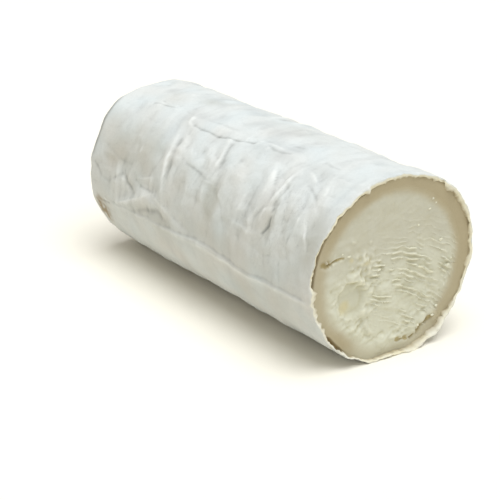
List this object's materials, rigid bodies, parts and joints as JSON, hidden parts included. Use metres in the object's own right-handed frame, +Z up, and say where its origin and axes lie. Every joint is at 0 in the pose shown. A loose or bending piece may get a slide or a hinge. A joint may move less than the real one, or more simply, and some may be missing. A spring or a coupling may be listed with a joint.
{
  "type": "goat cheese log",
  "caption": "Log of soft goat cheese lying on its side, with a wrinkled white rind, a creamy ripened layer under it and a chalky core that shows at the cut end.",
  "frame": {"origin": "middle of the log's bounding box, on the surface that it rests on", "axes": "+X along the log towards the cut end, +Z up, -Y towards the side that shows in the picture"},
  "size_m": [0.171, 0.0831, 0.0783],
  "materials": {
    "white_rind": "matt white bloomy rind, creamy tan where the layer under it shows at the cut",
    "chalky_paste": "matt ivory paste, slightly moist"
  },
  "bodies": {
    "root": {"ripened_layer": "white_rind", "chalky_core": "chalky_paste"}
  },
  "joints": []
}
